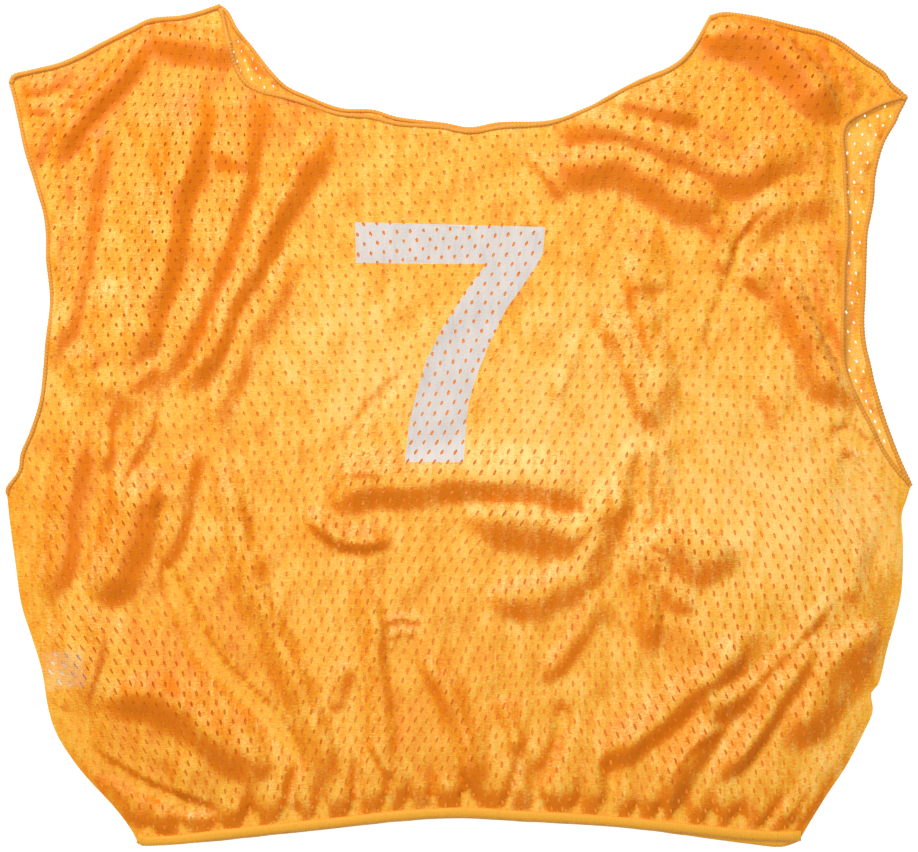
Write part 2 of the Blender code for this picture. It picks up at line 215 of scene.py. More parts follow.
# %% [markdown]
# ## The folds of the front
#
# Laid cloth keeps soft folds where hands have pushed it. Each fold here is one row of a table: its
# crest follows a few points, with one side on the left of the walk and the other on the right, each of
# its own width, so a fold can lean over as real ones do. Both ends fade and narrow, which is what
# makes a fold run out into the cloth instead of stopping. A height below zero is a trough. The
# largest rows are the folds of the CAD front panel, and the others are the creases between them.

# %% Folds of the left chest
Fold = namedtuple("Fold", "name rise fall height path")

LEFT_CHEST_FOLDS = [
    Fold("broad", 40, 55, 4.0, [(-226, 0), (-205, 70), (-186, 140), (-166, 214)]),
    Fold("shoulder", 10, 14, 6.5,
         [(-252, 158), (-247, 178), (-233, 199), (-214, 219), (-201, 237), (-195, 253)]),
    Fold("shoulder, inner", 10, 21, 6.0,
         [(-204, 238), (-185, 246), (-168, 241), (-152, 242), (-136, 226)]),
    Fold("shoulder, outer", 8, 8, 2.5, [(-265, 160), (-261, 178), (-252, 193), (-240, 209)]),
    Fold("shoulder tip", 7, 6, 2.4, [(-277, 207), (-263, 212), (-250, 217), (-238, 229)]),
    Fold("shoulder tip, lower", 5, 5, 1.8, [(-273, 196), (-258, 199), (-244, 206), (-234, 220)]),
    Fold("armhole line", 7, 7, 2.5, [(-252, 88), (-248, 120), (-247, 145), (-250, 168)]),
    Fold("outer", 10, 17, 4.6,
         [(-257, 34), (-249, 60), (-238, 104), (-236, 130), (-231, 160), (-216, 194)]),
    Fold("outer, soft", 15, 14, 2.2, [(-226, 36), (-222, 65), (-216, 96)]),
    Fold("outer, patch", 10, 12, 2.2, [(-247, 35), (-236, 42), (-222, 39)]),
    Fold("middle", 24, 16, 6.0,
         [(-205, 34), (-195, 60), (-186, 98), (-177, 140), (-167, 176), (-157, 208)]),
    Fold("below the neck", 12, 28, 4.2, [(-151, 158), (-141, 182), (-126, 208)]),
    Fold("between", 14, 14, 4.6,
         [(-186, 22), (-172, 54), (-150, 108), (-139, 142), (-135, 164), (-126, 188)]),
    Fold("between, low", 8, 8, 1.8, [(-206, 22), (-196, 33), (-186, 39)]),
    Fold("inner", 7, 18, 7.0, [(-173, 18), (-155, 53), (-134, 96), (-116, 133), (-95, 168), (-78, 190)]),
    Fold("beside the numeral", 10, 16, 3.6,
         [(-153, -14), (-147, 20), (-127, 66), (-112, 94), (-98, 114)]),
    Fold("towards the waist", 6, 8, -1.6, [(-30, 38), (-50, 15), (-68, -5), (-78, -20)]),
    Fold("under the neck edge", 3, 4, -1.2,
         [(-146, 216), (-122, 208), (-96, 201), (-58, 194), (-10, 187), (50, 189)]),
]
print("left chest folds:", len(LEFT_CHEST_FOLDS))

# %% Folds of the left waist
LEFT_WAIST_FOLDS = [
    Fold("broad, low", 30, 60, 3.6, [(-262, -128), (-215, -140), (-165, -170), (-120, -205)]),
    Fold("pouch", 20, 26, 8.0,
         [(-225, -116), (-214, -85), (-207, -62), (-202, -47), (-186, -41), (-175, -52)]),
    Fold("long crease", 9, 9, -8.5,
         [(-185, -80), (-172, -118), (-150, -152), (-125, -178), (-104, -204), (-94, -222)]),
    Fold("hem pouch", 14, 22, 6.5,
         [(-224, -178), (-205, -168), (-190, -165), (-172, -176), (-145, -197), (-116, -221)]),
    Fold("hem crease", 8, 8, -6.5,
         [(-258, -172), (-244, -186), (-232, -207), (-208, -221), (-175, -236), (-146, -244)]),
    Fold("corner crease", 4, 4, -2.5, [(-212, -242), (-200, -252), (-188, -256), (-176, -255)]),
    Fold("side, long", 14, 14, 3.8, [(-257, -120), (-250, -85), (-246, -50), (-240, -15), (-230, 10)]),
    Fold("side, narrow", 8, 7, 3.0, [(-222, -32), (-220, -8), (-216, 17)]),
    Fold("side, slanting", 10, 7, 3.0, [(-225, -66), (-209, -28), (-199, -8), (-186, 17)]),
    Fold("side, low", 8, 6, 2.2, [(-233, -176), (-228, -155), (-225, -132), (-229, -112)]),
    Fold("flank", 14, 10, 3.2, [(-184, -94), (-178, -68), (-171, -40), (-164, -8)]),
    Fold("long ridge", 20, 9, 5.0,
         [(-73, -228), (-84, -200), (-98, -163), (-116, -122), (-134, -75), (-145, -15)]),
    Fold("hem ridge", 8, 6, 2.2, [(-142, -178), (-128, -200), (-119, -224)]),
    Fold("short streak", 10, 10, 2.6, [(-80, -181), (-74, -163), (-68, -146)]),
    Fold("by the middle", 7, 5, 2.0, [(-57, -196), (-48, -208), (-42, -222)]),
]
print("left waist folds:", len(LEFT_WAIST_FOLDS))

# %% Folds under the numeral
MIDDLE_FOLDS = [
    Fold("upper", 26, 20, 6.0,
         [(-88, -47), (-60, -38), (-30, -34), (0, -33), (25, -31), (50, -35), (88, -48)]),
    Fold("second", 7, 29, 7.4,
         [(0, -61), (14, -56), (28, -54), (46, -58), (64, -63), (80, -58), (102, -28)]),
    Fold("third", 14, 22, 4.8, [(12, -115), (28, -108), (46, -103), (64, -98), (78, -89), (97, -61)]),
    Fold("left", 14, 9, 5.0, [(-98, -52), (-82, -66), (-68, -72), (-50, -73), (-40, -74)]),
    Fold("dash", 7, 6, 1.8, [(-80, -30), (-60, -29), (-42, -30)]),
    Fold("long line", 15, 7, 3.8, [(-37, -222), (-46, -186), (-49, -155), (-53, -118), (-64, -84)]),
    Fold("pinch", 5, 4, 1.6, [(-50, -122), (-36, -121), (-22, -123)]),
    Fold("lower pinch", 5, 4, 1.4, [(-46, -131), (-34, -130), (-24, -132)]),
    Fold("dark band", 17, 12, 5.4, [(-24, -138), (-11, -162), (-2, -190), (4, -214), (6, -238)]),
    Fold("left spoke", 8, 14, 3.2, [(50, -163), (62, -145), (72, -130), (82, -114), (94, -96)]),
    Fold("hollow", 8, 8, -3.0, [(63, -168), (63, -186), (59, -205), (50, -230)]),
    Fold("low streak", 10, 7, 2.0, [(24, -168), (32, -188), (36, -208)]),
]
print("folds under the numeral:", len(MIDDLE_FOLDS))

# %% Folds of the right chest
RIGHT_CHEST_FOLDS = [
    Fold("broad", 30, 60, 3.4, [(60, 190), (120, 200), (180, 195), (236, 168)]),
    Fold("shoulder", 10, 31, 10.0,
         [(146, 236), (163, 249), (185, 248), (203, 238), (218, 222), (229, 206), (239, 188)]),
    Fold("seam streak", 7, 5, 2.0, [(172, 257), (194, 253), (215, 246)]),
    Fold("shoulder tuck", 6, 6, -4.0, [(220, 247), (234, 236), (243, 227), (255, 220), (265, 209)]),
    Fold("tip tuck", 6, 6, -3.5, [(269, 207), (259, 202), (248, 191)]),
    Fold("tuck ridge", 7, 4, 2.2, [(224, 243), (231, 226), (238, 206)]),
    Fold("tip ridge", 7, 5, 2.2, [(236, 232), (246, 214), (247, 200)]),
    Fold("upper", 12, 16, 4.8, [(82, 203), (100, 204), (118, 201), (136, 196), (152, 186)]),
    Fold("middle", 15, 22, 5.0,
         [(54, 184), (80, 188), (104, 185), (132, 175), (160, 163), (180, 160), (212, 184)]),
    Fold("lower", 12, 23, 6.2,
         [(48, 162), (66, 164), (85, 166), (105, 163), (124, 155), (152, 140), (167, 118)]),
    Fold("lower end", 12, 10, 2.4, [(160, 132), (165, 112), (166, 92)]),
    Fold("diagonal", 8, 7, 2.0, [(43, 173), (52, 160), (60, 150), (68, 139)]),
    Fold("armhole, upper", 15, 22, 3.4, [(174, 112), (188, 132), (206, 142), (224, 143), (244, 145)]),
    Fold("armhole, lower", 8, 21, 7.0,
         [(202, 107), (211, 82), (219, 60), (228, 40), (239, 24), (252, 12)]),
    Fold("armhole, branch", 10, 25, 4.6, [(176, 87), (187, 98), (201, 106)]),
    Fold("armhole, line", 8, 7, 2.6, [(217, 121), (222, 98), (230, 76), (238, 54), (248, 32)]),
    Fold("armhole, second line", 7, 6, 2.2, [(232, 132), (233, 104), (238, 80), (243, 54)]),
    Fold("armhole, high line", 7, 6, 1.8, [(226, 182), (227, 164), (226, 146)]),
    Fold("thin line", 6, 6, -3.5, [(200, 140), (186, 128), (172, 98), (158, 60), (148, 40)]),
    Fold("soft", 20, 18, 2.6, [(116, 126), (118, 104), (122, 78)]),
    Fold("rising", 12, 14, 5.8, [(84, 80), (97, 60), (108, 38), (117, 16), (125, -10)]),
    Fold("rising, second", 14, 9, 3.8, [(99, 112), (108, 92), (120, 50), (126, 28), (133, 0)]),
    Fold("by the numeral", 8, 7, 1.6, [(76, 62), (70, 44), (64, 26), (60, 12)]),
    Fold("side, soft", 20, 12, 1.8, [(188, 40), (200, 8), (211, -28), (214, -60)]),
]
print("right chest folds:", len(RIGHT_CHEST_FOLDS))

# %% Folds of the right waist
RIGHT_WAIST_FOLDS = [
    Fold("broad, low", 95, 70, 5.0, [(120, -150), (170, -125), (220, -105), (272, -88)]),
    Fold("pouch", 10, 35, 8.0, [(110, -86), (122, -73), (131, -66), (143, -69), (158, -75), (178, -80)]),
    Fold("spoke, west", 8, 9, 3.2, [(104, -62), (103, -42), (105, -24), (112, -4)]),
    Fold("spoke, first", 7, 5, 2.8, [(120, 2), (118, -25), (118, -50), (119, -74)]),
    Fold("spoke, second", 7, 5, 2.5, [(124, 4), (128, -25), (130, -48), (138, -76)]),
    Fold("spoke, south", 7, 12, 4.8, [(103, -58), (110, -74), (115, -90), (119, -108), (123, -148)]),
    Fold("spoke, east", 8, 16, 3.4, [(114, -78), (126, -90), (136, -102), (149, -118)]),
    Fold("underarm", 7, 7, -4.0, [(231, -2), (245, -8), (258, -18)]),
    Fold("underarm, second", 7, 7, -3.6, [(238, -14), (251, -36), (264, -58)]),
    Fold("underarm, third", 6, 6, -3.0, [(261, 2), (267, -16), (276, -36)]),
    Fold("hem, first", 17, 16, 7.0,
         [(84, -217), (98, -204), (128, -179), (146, -166), (163, -152), (181, -122)]),
    Fold("hem, second", 12, 15, 6.0,
         [(122, -243), (134, -222), (146, -203), (154, -187), (163, -173), (196, -159)]),
    Fold("hem, third", 14, 12, 6.5,
         [(157, -225), (172, -208), (184, -193), (207, -159), (218, -144), (233, -127)]),
    Fold("hem, last", 14, 28, 7.5,
         [(201, -204), (212, -184), (221, -168), (231, -152), (243, -138), (268, -123)]),
    Fold("hem, thin", 8, 7, 2.6, [(177, -170), (192, -154), (206, -138), (220, -122), (236, -103)]),
    Fold("hem, between", 7, 6, 2.6, [(128, -222), (142, -202), (156, -192), (168, -187)]),
    Fold("side line", 10, 8, 1.8, [(252, -70), (247, -92), (240, -112)]),
]
FOLDS = LEFT_CHEST_FOLDS + LEFT_WAIST_FOLDS + MIDDLE_FOLDS + RIGHT_CHEST_FOLDS + RIGHT_WAIST_FOLDS
print("folds in all:", len(FOLDS), "tallest", max(fold.height for fold in FOLDS), "mm")

# %% [markdown]
# ## The gathers and the slack
#
# The hem's elastic draws the cloth together, so above it the cloth puffs up with narrow hollows
# between the puffs. A row for each hollow says where it stands on the hem, how far it leans, how tall
# and how wide it is, and how deep. Elsewhere handled cloth is never quite flat: three slow waves,
# each bent by the others, keep it uneven.

# %% Hollows above the hem, and slow waves
Hollow = namedtuple("Hollow", "foot lean reach half depth")
HOLLOWS = [
    Hollow(-190, -0.3, 26, 6, 2.5), Hollow(-170, -0.3, 40, 6, 2.5), Hollow(-149, -0.2, 24, 5, 2.5),
    Hollow(-131, 0.0, 26, 8, 4.5), Hollow(-113, 0.3, 40, 6, 4.0), Hollow(-104, 0.1, 18, 5, 3.5),
    Hollow(-88, 0.1, 26, 7, 4.5), Hollow(-67, 0.1, 38, 6, 4.5), Hollow(-47, 0.1, 26, 5, 4.0),
    Hollow(-32, 0.0, 24, 5, 3.5), Hollow(-16, -0.1, 26, 5, 3.5), Hollow(7, -0.2, 54, 8, 5.0),
    Hollow(27, 0.3, 40, 5, 3.0), Hollow(50, -0.1, 32, 8, 4.5), Hollow(71, 0.2, 34, 5, 3.0),
    Hollow(92, 0.1, 46, 9, 5.0), Hollow(109, 0.1, 22, 5, 3.0), Hollow(124, 0.1, 34, 5, 3.0),
    Hollow(134, 0.3, 22, 8, 5.0), Hollow(156, 0.1, 24, 7, 4.5), Hollow(171, 0.3, 20, 9, 4.5),
    Hollow(187, 0.5, 26, 5, 3.5), Hollow(203, 0.5, 34, 5, 2.5),
]
PUFF = 4.4
PUFF_FROM = 2.0
PUFF_UP = 19.0
PUFF_REACH = 80.0
HOLLOW_TALL = 1.5
HOLLOW_SHARP = 1.4

Wave = namedtuple("Wave", "across along height phase")
SLACK = [Wave(33, 96, 0.55, 0.4), Wave(21, 66, 0.22, 2.1), Wave(58, 47, 0.50, 4.0)]
print("hollows above the hem:", len(HOLLOWS))

# %% [markdown]
# ## The height of the front
#
# Every piece of the front asks the same function how high it lies at a place on the table, so the
# cloth, its edges and its hem can't come apart. The height is a low billow away from the seams, plus
# the slack, the folds and the puffed hem. At the sewn sides the front comes down to the back, as the
# two cloths share a seam there.

# %% One fold, the hem and the slack
FULL_TURN = 2 * np.pi
FOLD_STEP = 6.0
FOLD_END = 0.26
FOLD_END_MOST = 30.0
END_WIDTH = 0.6
RAMP_ROUND = 0.38

BACK_CLOTH = 0.45
FRONT_CLOTH = 0.45
FRONT_REST = 1.4
SEWN_REST = 0.5
SEWN_REACH = 7.0
BILLOW = 1.8
BILLOW_REACH = 50.0
SEAM_REACH = 14.0
HEM_REACH = 26.0
HEM_SHARE = 0.35


def ramp(share):
    """0 to 1 at one slope, with a short parabola at each end. Pulled cloth runs straight between
    two soft bends, which is why a fold's side is one even band of dark or light."""
    held = np.clip(share, 0.0, 1.0)
    nearer = np.minimum(held, 1 - held)
    bend = nearer**2 / (2 * RAMP_ROUND * (1 - RAMP_ROUND))
    lower = np.where(nearer < RAMP_ROUND, bend, (nearer - RAMP_ROUND / 2) / (1 - RAMP_ROUND))
    return np.where(held < 0.5, lower, 1 - lower)


def fold_height(points, fold):
    """Rises in a ramp to the crest on its left and falls in one to its right. Towards both ends its
    height fades to 0 and its width to END_WIDTH of itself."""
    crest = smooth_curve(fold.path, FOLD_STEP)
    long = np.linalg.norm(np.diff(crest, axis=0), axis=1).sum()
    end = min(FOLD_END, FOLD_END_MOST / long)
    reach = max(fold.rise, fold.fall)
    near = ((points > crest.min(axis=0) - reach) & (points < crest.max(axis=0) + reach)).all(axis=1)
    across, reached = nearest_on(points[near], crest)
    ends = smoothstep(reached / end) * smoothstep((1 - reached) / end)
    width = np.where(across < 0, fold.rise, fold.fall) * (END_WIDTH + (1 - END_WIDTH) * ends)
    total = np.zeros(len(points))
    total[near] = fold.height * ramp(1 - np.abs(across) / width) * ends
    return total


def hem_height(points, above):
    """A puff that rises just above the band and dies away upward, with a hollow for each row."""
    fade = smoothstep(1 - above / PUFF_REACH)
    total = PUFF * smoothstep((above - PUFF_FROM) / PUFF_UP) * fade
    for hollow in HOLLOWS:
        across = np.abs(points[:, 0] - hollow.foot - hollow.lean * above) / hollow.half
        upward = (1 - above / hollow.reach / HOLLOW_TALL) * HOLLOW_SHARP
        total -= hollow.depth * smoothstep(1 - across) * smoothstep(upward)
    return total


def slack_height(points):
    """The sum of a few products of two sines, where each sine's phase swings with the other way."""
    x, y = points.T
    total = np.zeros(len(points))
    for wave in SLACK:
        sway = 1.3 * np.sin(FULL_TURN * y / (1.7 * wave.along) + wave.phase)
        roll = 0.9 * np.sin(FULL_TURN * x / (2.3 * wave.across) + wave.phase)
        across = np.sin(FULL_TURN * x / wave.across + sway + wave.phase)
        total += wave.height * across * np.sin(FULL_TURN * y / wave.along + roll + 2 * wave.phase)
    return total


# %% The front's underside
WOBBLE = 0.9
SEWN = [smooth_curve(turns, CAD_STEP) for turns in (LEFT_SHOULDER, RIGHT_SHOULDER, LEFT_SIDE, RIGHT_SIDE)]
HEM_LINE = smooth_curve(FRONT_HEM, CAD_STEP)


def front_height(points):
    """The underside of the front above the table: billow, slack, folds and hem, less at sewn edges.
    The folds are read at places that swing by WOBBLE, so that no crest is a perfect curve."""
    from_seam = np.min([np.abs(nearest_on(points, seam)[0]) for seam in SEWN], axis=0)
    from_hem = np.abs(nearest_on(points, HEM_LINE)[0])
    relief = BILLOW * smoothstep(np.minimum(from_seam, from_hem) / BILLOW_REACH) + slack_height(points)
    x, y = points.T
    swing = np.column_stack([np.sin(y / 9.0 + 1.1 * np.sin(x / 21)), np.sin(x / 8.3 + y / 30)])
    bent = points + WOBBLE * swing
    for fold in FOLDS:
        relief += fold_height(bent, fold)
    relief *= HEM_SHARE + (1 - HEM_SHARE) * smoothstep(from_hem / HEM_REACH)
    relief = np.maximum(relief + hem_height(bent, from_hem), 0) * smoothstep(from_seam / SEAM_REACH)
    rest = SEWN_REST + (FRONT_REST - SEWN_REST) * smoothstep(from_seam / SEWN_REACH)
    return rest + relief


sample = np.array([(0.0, 0.0), (-230.0, 200.0), (0.0, -200.0)])
print("front heights at three places, in mm:", front_height(sample).round(2))

# %% [markdown]
# ## Wrinkles of the back
#
# The back lies on the table and carries the front, so it has only low wrinkles. They show where the
# back looks out, in the strip along the right armhole and inside the neck, and they are there on the
# hidden part and on the underside too. They stay under the front, which is why their height is held
# below the front's underside.

# %% The back's underside
BACK_CLEAR = 0.25
BACK_FOLDS = [
    Fold("armhole strip, upper", 3, 8, 2.0, [(268, 194), (262, 178), (254, 160), (252, 140)]),
    Fold("armhole strip, middle", 3, 6, 1.8, [(252, 128), (249, 104), (248, 80), (250, 55)]),
    Fold("armhole strip, lower", 4, 6, 1.5, [(252, 46), (256, 26), (264, 4)]),
    Fold("inside the neck, left", 3, 4, 1.6, [(-146, 262), (-138, 244), (-126, 226), (-104, 208)]),
    Fold("inside the neck, middle", 3, 4, 1.2, [(-70, 197), (-30, 190), (20, 188), (60, 190)]),
    Fold("shoulder blade, left", 14, 20, 1.0, [(-210, 170), (-170, 110), (-150, 40)]),
    Fold("shoulder blade, right", 14, 20, 1.0, [(200, 160), (150, 120), (120, 30)]),
    Fold("small of the back", 16, 22, 1.2, [(-120, -60), (-20, -40), (90, -70)]),
    Fold("waist, left", 12, 18, 1.0, [(-220, -90), (-160, -150), (-120, -210)]),
    Fold("waist, right", 12, 18, 1.0, [(230, -110), (170, -160), (130, -220)]),
]


def back_height(points):
    """The underside of the back: low wrinkles, held below the front's underside."""
    relief = sum(fold_height(points, fold) for fold in BACK_FOLDS)
    from_seam = np.min([np.abs(nearest_on(points, seam)[0]) for seam in SEWN], axis=0)
    room = np.maximum(front_height(points) - BACK_CLOTH - BACK_CLEAR, 0)
    return np.minimum(relief * smoothstep(from_seam / SEAM_REACH), room)


print("back heights at the same places, in mm:", back_height(sample).round(2))

# %% [markdown]
# ## Where the knitted holes lie
#
# The knit is a grid of holes in staggered rows, about 8 mm apart along a row, with rows about 6 mm
# apart. On the bib the grid isn't straight: the hem draws it together, and handling bends its rows.
# So the holes are laid out on flat cloth first, as (u, v), and one function then carries each point
# to its place on the table. Down at the waist the cloth is pulled lengthwise, and there the holes
# are tall and narrow, while on the chest they are nearly round. No white table shows through both
# cloths in the photograph, so the back's holes stand half a pitch beside the front's.

# %% From flat cloth to the laid bib
HOLE_PITCH = 8.1
ROW_PITCH = 6.1
GRID_REACH = 360.0
HEM_DRAW = 0.17
SHOULDER_DRAW = 0.2
DRAWN_FROM = -20.0
DRAWN_TO = -262.0


WAVE_START = 0.6


def laid(cloth):
    """Carries (u, v) on flat cloth to the table: u is drawn in towards the hem and, on the left,
    towards the shoulder. Slow waves bend the rows and the columns."""
    u, v = cloth[:, 0], cloth[:, 1]
    drawn = 1 - HEM_DRAW * smoothstep((DRAWN_FROM - v) / (DRAWN_FROM - DRAWN_TO) * 0.8)
    drawn = drawn - SHOULDER_DRAW * smoothstep(v / 240) * smoothstep(-u / 220)
    sway = 3.2 * np.sin(v / 46 + WAVE_START) + 2.2 * np.sin(v / 24 + u / 70 + 1.3 + WAVE_START)
    sway += 1.3 * np.sin(v / 15 - u / 41 - WAVE_START)
    roll = 2.6 * np.sin(u / 58 + WAVE_START) + 1.8 * np.sin(u / 31 - v / 66 + 1.6 + WAVE_START)
    roll += 0.9 * np.sin(u / 17 + v / 25 - WAVE_START)
    return np.column_stack([u * drawn + sway, v + roll])


print("the cloth's middle lies at", laid(np.zeros((1, 2))).round(2))

# %% The holes and the spare points between them
HOLE_HALF_WIDE = 0.85
HOLE_SLANT = 0.4
HOLE_HALF_TALL_CHEST = 1.5
HOLE_HALF_TALL_WAIST = 2.1
HOLE_SWING = 0.12
SPARE_UP = 1.5
HEXAGON = np.array([(1, 0.4), (0, 1), (-1, 0.4), (-1, -0.4), (0, -1), (1, -0.4)])


def hole_grid(share, beside):
    """The holes' six corners each, their widths a share of the full ones, and two spare points
    between each hole and the next, all on flat cloth and moved beside by that far."""
    columns = np.arange(-GRID_REACH, GRID_REACH, HOLE_PITCH) + beside
    rows = np.arange(-GRID_REACH, GRID_REACH, ROW_PITCH)
    u, v = np.meshgrid(columns, rows)
    u = u + HOLE_PITCH / 2 * (np.arange(len(rows)) % 2)[:, None]
    middles = np.column_stack([u.ravel(), v.ravel()])
    waist = smoothstep((60 - middles[:, 1]) / 140)
    tall = HOLE_HALF_TALL_CHEST + (HOLE_HALF_TALL_WAIST - HOLE_HALF_TALL_CHEST) * waist
    swing = 1 + HOLE_SWING * np.sin(middles[:, 0] * 1.3 + 0.9) * np.sin(middles[:, 1] * 1.7)
    half = np.column_stack([HOLE_HALF_WIDE * swing, tall * swing]) * share
    corners = HEXAGON * half[:, None]
    slant = HOLE_SLANT * np.sin(middles[:, 0] / 75 - middles[:, 1] / 130 + 1.0)
    corners[:, :, 0] += slant[:, None] * corners[:, :, 1]
    holes = middles[:, None] + corners
    spare = middles[:, None] + np.array([(HOLE_PITCH / 2, -SPARE_UP), (HOLE_PITCH / 2, SPARE_UP)])
    return holes, spare.reshape(-1, 2)


print("holes in the whole grid:", len(hole_grid(1.0, 0.0)[0]))

# %% [markdown]
# ## Cutting the cloth
#
# A constrained triangulation cuts all of this in one go. It is given the outline, each hole and, on
# the front, the numeral as loops of points, and it returns triangles with a note of the loops that
# each lies in. Triangles inside a hole are dropped. Those inside the numeral wear the print, so the
# print has clean edges and the same holes as the cloth, as a screen print on mesh has.

# %% Outline and numeral as loops
OUTLINE_STEP = 3.0
HOLE_MARGIN = 1.6
NUMERAL = [
    (-65.0, 127.2), (53.8, 124.1), (52.5, 107.8), (48.1, 99.7), (38.1, 84.7), (29.4, 72.8),
    (24.4, 62.2), (18.1, 49.1), (10.0, 28.4), (5.6, 11.6), (3.8, -7.8), (3.1, -22.8),
    (-33.8, -22.8), (-31.2, 0.9), (-26.9, 19.1), (-20.6, 40.3), (-11.2, 59.7), (4.4, 84.1),
    (16.9, 100.9), (-64.4, 101.6),
]


def outline(neck, right_armhole, hem, inside_by):
    """One panel's clockwise outline, a little inside its edges, where the stitches will cover it."""
    edges = (LEFT_SHOULDER, neck, RIGHT_SHOULDER, right_armhole, RIGHT_SIDE, hem, LEFT_SIDE, LEFT_ARMHOLE)
    loop = np.vstack([smooth_curve(turns, OUTLINE_STEP)[:-1] for turns in edges])
    return moved_right(loop, inside_by, closed=True)


def inside(points, loop):
    """Whether each point is in the loop, by counting the sides that cross the line to its right."""
    x = points[:, None, 0]
    y = points[:, None, 1]
    start = loop
    end = np.roll(loop, -1, axis=0)
    spans = (start[:, 1] > y) != (end[:, 1] > y)
    drop = np.where(end[:, 1] == start[:, 1], 1, end[:, 1] - start[:, 1])
    crossing = start[:, 0] + (y - start[:, 1]) * (end[:, 0] - start[:, 0]) / drop
    return (spans & (x < crossing)).sum(axis=1) % 2 == 1


front_loop = outline(FRONT_NECK, FRONT_RIGHT_ARMHOLE, FRONT_HEM, 0.9)
back_loop = outline(BACK_NECK, BACK_RIGHT_ARMHOLE, BACK_HEM, 0.9)
print("outline points:", len(front_loop), len(back_loop))

# %% The triangulation
INSIDE_LOOPS = 1
WELD = 1e-4


def cut(loop, share, beside, numeral=None):
    """Cloth inside the loop with its holes cut: places, triangles, printed ones, count of holes."""
    holes, spare = hole_grid(share, beside)
    ring = np.vstack([loop, loop[:1]])
    middles = laid(holes.mean(axis=1))
    kept = inside(middles, loop)
    kept[kept] = np.abs(nearest_on(middles[kept], ring)[0]) > HOLE_MARGIN + HOLE_HALF_TALL_WAIST
    holes = laid(holes[kept].reshape(-1, 2)).reshape(-1, 6, 2)
    spare = laid(spare)
    within = inside(spare, loop)
    within[within] = np.abs(nearest_on(spare[within], ring)[0]) > HOLE_MARGIN
    spare = spare[within]
    count = len(loop)
    loops = [list(range(count))[::-1]]
    loops += (count + np.arange(holes.shape[0] * 6).reshape(-1, 6)).tolist()
    points = [loop, holes.reshape(-1, 2), spare]
    if numeral is not None:
        first = count + holes.shape[0] * 6 + len(spare)
        points.append(numeral)
        loops.append(list(range(first, first + len(numeral)))[::-1])
    flat = [Vector(point) for point in np.vstack(points)]
    found = delaunay_2d_cdt(flat, [], loops, INSIDE_LOOPS, WELD, True)
    places = np.array([tuple(point) for point in found[0]])
    triangles = np.array(found[2])
    last_hole = len(holes)
    holed = [any(1 <= face <= last_hole for face in faces) for faces in found[5]]
    cloth = np.array([0 in faces and not hole for faces, hole in zip(found[5], holed)])
    printed = np.array([last_hole + 1 in faces for faces in found[5]])
    return places, triangles[cloth], printed[cloth], len(holes)


BACK_HOLE_SHARE = 0.7
BACK_HOLES_BESIDE = HOLE_PITCH / 2
front_cut = cut(front_loop, 1.0, 0.0, np.array(NUMERAL))
back_cut = cut(back_loop, BACK_HOLE_SHARE, BACK_HOLES_BESIDE)
print("front: holes", front_cut[3], "triangles", len(front_cut[1]), "printed", front_cut[2].sum())
print("back: holes", back_cut[3], "triangles", len(back_cut[1]))

# %% [markdown]
# ## A mesh from arrays
#
# One function puts arrays into a new Blender object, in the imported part's own frame. A second one
# turns a flat cut into a closed shell: the cut once at its underside and once above it, with a wall
# round every free edge, those of the holes too. A closed shell has an inside and an outside, so it
# looks right from below as well.

# %% Objects from arrays
def new_piece(name, vertices, faces):
    """An object from vertices in table millimetres and arrays of faces, each with rows of one length."""
    mesh = bpy.data.meshes.new(name)
    sizes = np.concatenate([np.full(len(rows), rows.shape[1]) for rows in faces])
    corners = np.concatenate([rows.ravel() for rows in faces])
    places = (vertices - np.append(MIDDLE, 0)) * MM
    mesh.vertices.add(len(places))
    mesh.loops.add(len(corners))
    mesh.polygons.add(len(sizes))
    mesh.vertices.foreach_set("co", places.ravel())
    mesh.loops.foreach_set("vertex_index", corners)
    mesh.polygons.foreach_set("loop_start", np.cumsum(sizes) - sizes)
    mesh.update(calc_edges=True)
    mesh.shade_smooth()
    made = bpy.data.objects.new(name, mesh)
    bpy.context.scene.collection.objects.link(made)
    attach(made, "root")
    return made


def shell(name, plan, triangles, under, thick):
    """A closed wall: the plan at its underside and again thick above it, and walls round free edges."""
    count = len(plan)
    vertices = np.vstack([np.column_stack([plan, under]), np.column_stack([plan, under + thick])])
    edges = triangles[:, [0, 1, 1, 2, 2, 0]].reshape(-1, 2)
    forward = edges[:, 0] * count + edges[:, 1]
    backward = edges[:, 1] * count + edges[:, 0]
    a, b = edges[~np.isin(forward, backward)].T
    walls = np.column_stack([b + count, a + count, a, b])
    return new_piece(name, vertices, [triangles[:, ::-1], triangles + count, walls])


def set_values(piece, name, values):
    """A number on each vertex, which a material can read."""
    layer = piece.data.attributes.new(name, "FLOAT", "POINT")
    layer.data.foreach_set("value", values.astype(np.float32))


def set_map(piece, name, places):
    """A UV map from a place for each vertex, given to every corner of a face that meets there."""
    corner = np.zeros(len(piece.data.loops), np.int32)
    piece.data.loops.foreach_get("vertex_index", corner)
    piece.data.uv_layers.new(name=name).data.foreach_set("uv", places[corner].ravel())


print("helpers for a piece: new_piece, shell, set_values, set_map")


# %% [markdown]
# ## The two mesh panels
#
# With the cut and the heights in hand, each panel is a call. Its vertices keep four numbers for the finish:
# how much painted shade, a deep orange, lies there, how much painted highlight, a pale yellow, how much of
# the white label shines through, and how strong a painted glow the back gives off where the front covers it,
# in place of light through the front. The painted shade lies on slopes that face down towards the hem, away
# from the key light, and on any steep slope, and the painted highlight lies on slopes that face up towards
# the light. A short table of broad patches paints more highlight or more shade where the bib should look
# paler or deeper.

# %% Measures that the finish reads
# These numbers set the painted shade and painted highlight: the way away from the key light, the slope that
# gives the full amount, and the share of each.
SLOPE_STEP = 0.5
STEEPEST = 0.34
AWAY_FROM_KEY_TURN = 0.2
AWAY_FROM_KEY_FAN = 0.0012
SHADE_FACING_AWAY = 0.75
SHADE_ON_STEEP = 0.42
HIGHLIGHT_FACING_KEY = 0.45
